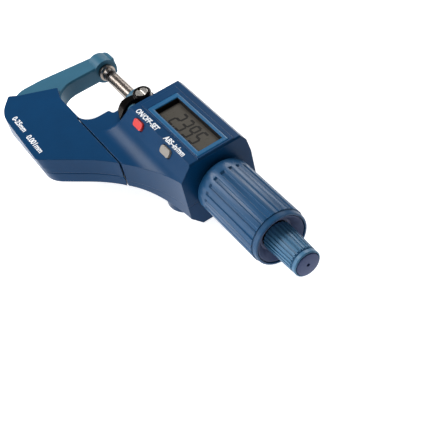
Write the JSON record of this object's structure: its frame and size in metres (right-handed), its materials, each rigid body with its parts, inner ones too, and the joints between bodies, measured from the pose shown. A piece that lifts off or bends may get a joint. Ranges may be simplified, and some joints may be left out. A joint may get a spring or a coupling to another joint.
{
  "type": "digital outside micrometer",
  "caption": "Digital outside micrometer with a C-shaped bow, grip covers, a display housing with push buttons, a spindle lock, a ribbed thimble and a ratchet stop.",
  "frame": {"origin": "centre of the anvil's measuring face, on the spindle axis", "axes": "+X along the spindle towards the ratchet, +Y towards the open side of the bow, +Z out of the display, away from the flat back"},
  "size_m": [0.181, 0.0745, 0.0347],
  "materials": {
    "frame_paint": "satin enamel over a casting",
    "blue_plastic": "fine matt moulding",
    "thimble_plastic": "fine matt moulding",
    "bezel_plastic": "smooth moulding",
    "lcd_glass": "grey display behind glass",
    "red_plastic": "smooth moulding",
    "white_plastic": "smooth moulding",
    "cap_plastic": "smooth moulding",
    "bright_steel": "ground and polished",
    "carbide": "lapped",
    "black_steel": "blackened",
    "black_chrome": "dark bright plating",
    "satin_aluminium": "satin",
    "brass": "turned",
    "circuit": "glass fibre board",
    "grey_rubber": "matt"
  },
  "bodies": {
    "micrometer": {"frame": "frame_paint", "anvil": "bright_steel", "anvil_tip": "carbide", "inner_sleeve": "bright_steel", "spindle_nut": "brass", "adjusting_nut": "bright_steel", "barrel": "satin_aluminium", "encoder_stator": "circuit", "lock_washer": "bright_steel", "front_cover": "blue_plastic", "back_cover": "blue_plastic", "housing_front": "blue_plastic", "housing_back": "blue_plastic", "case_screws": "black_steel", "display_bezel": "bezel_plastic", "lcd_panel": "lcd_glass", "contact_strips": "grey_rubber", "circuit_board": "circuit", "button_pad": "grey_rubber", "battery_cell": "bright_steel", "battery_contacts": "brass"},
    "rotor": {"encoder_rotor": "circuit", "rotor_bush": "brass"},
    "spindle": {"spindle": "bright_steel", "spindle_tip": "carbide", "thimble_core": "satin_aluminium", "thimble": "thimble_plastic", "ratchet_clutch": "bright_steel", "ratchet_screw": "bright_steel"},
    "ratchet": {"ratchet_knob": "thimble_plastic", "ratchet_spring": "bright_steel", "ratchet_cap": "thimble_plastic"},
    "lock": {"lock_lever": "black_chrome", "lock_screw": "bright_steel", "lock_pin": "bright_steel"},
    "on_button": {"on_button": "red_plastic"},
    "mode_button": {"mode_button": "white_plastic"},
    "battery_cap": {"battery_cap": "cap_plastic"}
  },
  "joints": [
    {"name": "thimble_turn", "type": "hinge", "parent": "micrometer", "child": "rotor", "pos_m": [0.06, 0, 0], "axis": [1, 0, 0], "range_deg": [-1724.4, 16275.6]},
    {"name": "spindle_travel", "type": "slide", "parent": "rotor", "child": "spindle", "axis": [1, 0, 0], "range_m": [-0.00239, 0.02261]},
    {"name": "ratchet_turn", "type": "hinge", "parent": "spindle", "child": "ratchet", "pos_m": [0.15, 0, 0], "axis": [1, 0, 0], "continuous": true},
    {"name": "lock_swing", "type": "hinge", "parent": "micrometer", "child": "lock", "pos_m": [0.0359, 0, 0.0085], "axis": [0, 0, 1], "range_deg": [-40, 0]},
    {"name": "on_off_press", "type": "slide", "parent": "micrometer", "child": "on_button", "axis": [0, 0.7547, -0.6561], "range_m": [0, 0.0005], "stiffness_N_per_m": 1000},
    {"name": "mode_press", "type": "slide", "parent": "micrometer", "child": "mode_button", "axis": [0, 0.7547, -0.6561], "range_m": [0, 0.0005], "stiffness_N_per_m": 1000},
    {"name": "battery_cap_turn", "type": "hinge", "parent": "micrometer", "child": "battery_cap", "pos_m": [0.0804, -0.008, -0.0165], "axis": [0, 0, 1], "range_deg": [0, 60]}
  ],
  "couplings": [
    {"joint": "thimble_turn", "follows": "spindle_travel", "rad_per_m": 12566}
  ]
}
